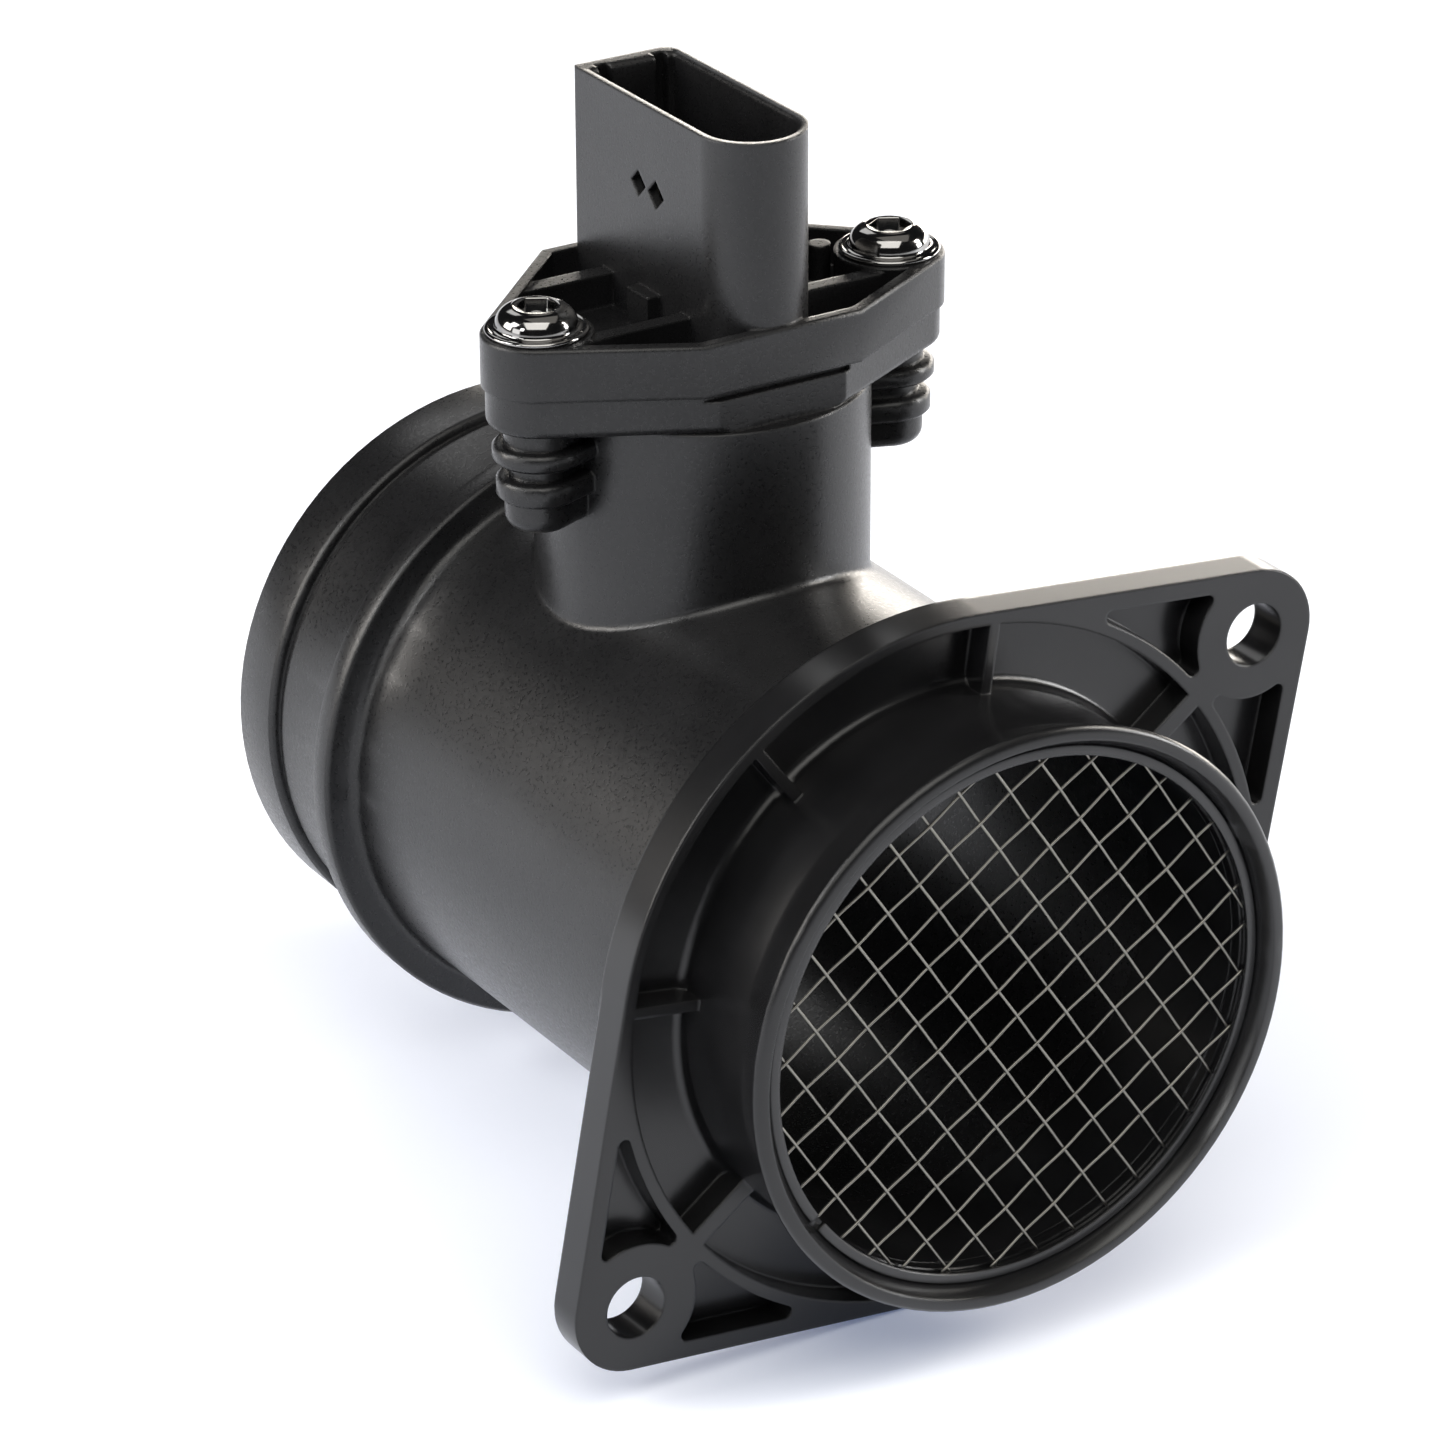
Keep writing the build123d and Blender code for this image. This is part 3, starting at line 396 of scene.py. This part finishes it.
def studioFloor(look):
    # a square, side to side of the floor's size, in the plane z = 0 and then set down
    side = look["floorSize"] / 2
    corners = [(-side, -side, 0), (side, -side, 0), (side, side, 0), (-side, side, 0)]
    mesh = bpy.data.meshes.new("floor")
    mesh.from_pydata(corners, [], [(0, 1, 2, 3)])
    floor = bpy.data.objects.new("floor", mesh)
    bpy.context.scene.collection.objects.link(floor)
    floor.location = (0, 0, look["floorZ"] * mm)
    # matt paint, rolled on: pale, even and without reflections. The floor glows as painted
    # light: bluish near the part, as painted blue shade, and white further out, as a painted
    # bright sweep lit from behind: the share of white is (distance - near) / (far - near),
    # kept between 0 and 1
    paint, tree = newMaterial("mattPaintedFloor")
    spot = addNode(tree, "ShaderNodeTexCoord")
    away = addNode(tree, "ShaderNodeVectorMath", {}, {0: (spot, "Object")},
                   operation="LENGTH")
    far = addNode(tree, "ShaderNodeMapRange",
                  {"From Min": look["sweep"][0], "From Max": look["sweep"][1]},
                  {"Value": (away, "Value")})
    glow = addNode(tree, "ShaderNodeMix", {"A": linearColour(look["shadeGlowColour"]),
                                           "B": linearColour(look["sweepColour"])},
                   {"Factor": (far, "Result")}, data_type="RGBA")
    shader = addNode(tree, "ShaderNodeBsdfPrincipled",
                     {"Base Color": linearColour(look["floorColour"]),
                      "Roughness": look["floorRough"],
                      "Specular IOR Level": look["floorGloss"],
                      "Emission Strength": look["glowStrength"]},
                     {"Emission Color": (glow, "Result")})
    finishMaterial(tree, shader)
    mesh.materials.append(paint)
    return floor


floor = studioFloor(studio)

bpy.context.scene.view_settings.view_transform = "Standard"

world = bpy.data.worlds.new("studioSky")
bpy.context.scene.world = world
world.use_nodes = True
sky = world.node_tree.nodes["Background"]
sky.inputs["Color"].default_value = linearColour(studio["skyColour"])
sky.inputs["Strength"].default_value = studio["skyStrength"]
print("floor and sky set")


def areaLight(name, place, target, width, height, watts, colour):
    # rectangle of light at place, in metres, that faces target
    light = bpy.data.lights.new(name, "AREA")
    light.shape = "RECTANGLE"
    light.size = width
    light.size_y = height
    light.energy = watts
    light.color = linearColour(colour)[:3]
    lamp = bpy.data.objects.new(name, light)
    bpy.context.scene.collection.objects.link(lamp)
    lamp.location = place
    direction = Vector(target) - Vector(place)
    lamp.rotation_euler = direction.to_track_quat("-Z", "Y").to_euler()


middle = (0, 0.045, 0.02)  # middle of the part, which every soft box faces
# name: place, width and height in metres, watts, colour
softBoxes = {
    "overheadBox": ((0.3, 0.0, 1.5), 1.2, 1.2, 2, "#fffaf2"),
    "keyBox": ((-0.3, -0.44, 0.92), 1.0, 0.9, 9, "#fffdf8"),
    "leftHighBox": ((-0.95, 0.35, 0.85), 0.4, 0.4, 6, "#ffffff"),
    "backLeftBox": ((-1.2, 0.7, 0.5), 0.65, 0.65, 12, "#fffaf4"),
    "edgeLeftBox": ((-1.1, -0.3, 0.62), 0.2, 0.3, 2, "#ffffff"),
    "frontLeftBox": ((-1.3, 0.0, 0.3), 0.5, 0.5, 2.5, "#ffffff"),
    "rightHighBox": ((1.15, -0.45, 0.75), 0.35, 0.35, 9, "#fffaf2"),
    "rightLowBox": ((1.3, 0.3, 0.16), 0.9, 0.28, 10, "#fff8ee"),
    "frontRightBox": ((1.25, -0.6, 0.32), 0.4, 0.4, 11, "#ffffff"),
    "backRightBox": ((0.95, 1.0, 0.2), 0.9, 0.36, 9, "#fff8ee"),
    "backBox": ((0.3, 1.3, 1.1), 0.6, 0.6, 2, "#ffffff"),
}
for name, (place, width, height, watts, colour) in softBoxes.items():
    areaLight(name, place, middle, width, height, watts, colour)
print("lights placed:", len(softBoxes))

# place and target in mm, lens and sensor in mm, clip distances in metres
view = {"place": (-341.19, -504.42, 319.79), "target": (-16.42, 20.20, 25.90),
        "rollDegrees": -0.256, "lens": 152.94, "sensor": 36.0, "clip": (0.01, 50)}


def makeCamera(look):
    # right is forward crossed with up; both are then rolled about the line of sight
    place = Vector(look["place"]) * mm
    forward = (Vector(look["target"]) * mm - place).normalized()
    right = forward.cross(Vector((0, 0, 1))).normalized()
    up = right.cross(forward)
    roll = math.radians(look["rollDegrees"])
    rolledRight = right * math.cos(roll) + up * math.sin(roll)
    rolledUp = up * math.cos(roll) - right * math.sin(roll)
    data = bpy.data.cameras.new("camera")
    data.lens = look["lens"]
    data.sensor_width = look["sensor"]
    data.clip_start, data.clip_end = look["clip"]
    camera = bpy.data.objects.new("camera", data)
    bpy.context.scene.collection.objects.link(camera)
    axes = Matrix((rolledRight, rolledUp, -forward)).transposed().to_4x4()
    camera.matrix_world = Matrix.Translation(place) @ axes
    bpy.context.scene.camera = camera


makeCamera(view)
print("camera placed")
